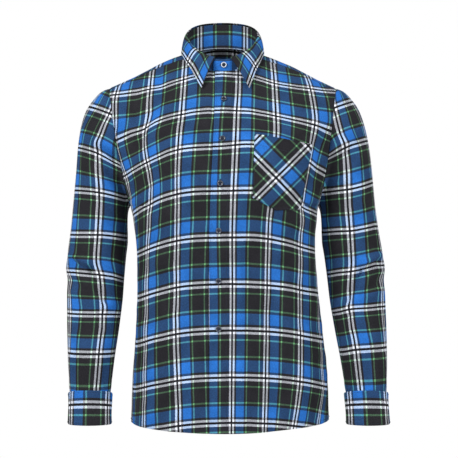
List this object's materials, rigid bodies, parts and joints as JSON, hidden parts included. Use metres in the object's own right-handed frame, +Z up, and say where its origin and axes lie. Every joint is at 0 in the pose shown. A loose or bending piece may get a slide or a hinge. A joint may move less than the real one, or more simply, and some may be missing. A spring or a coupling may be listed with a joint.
{
  "type": "flannel shirt",
  "caption": "Long-sleeved button-front shirt with a pointed collar, a chest pocket and buttoned cuffs, filled out and hollow as worn.",
  "frame": {"origin": "between the shoulders, level with the top of the shoulder seams, where the wearer carries the shirt", "axes": "+Z up along the body, -Y out of the front, +X to the wearer's left"},
  "size_m": [0.6555, 0.2718, 0.8408],
  "materials": {
    "flannel": "brushed cotton, plaid of blue, black, green and white",
    "button": "dark polished resin"
  },
  "bodies": {
    "root": {"front_right": "flannel", "front_left": "flannel", "yoke": "flannel", "back": "flannel", "sleeve_right": "flannel", "sleeve_left": "flannel", "collar_stand": "flannel", "collar_leaf": "flannel", "cuff_right": "flannel", "button_cuff_right": "button", "cuff_left": "flannel", "button_cuff_left": "button", "pocket": "flannel", "button_front_1": "button", "button_front_2": "button", "button_front_3": "button", "button_front_4": "button", "button_front_5": "button", "button_front_6": "button", "button_collar": "button"}
  },
  "joints": []
}
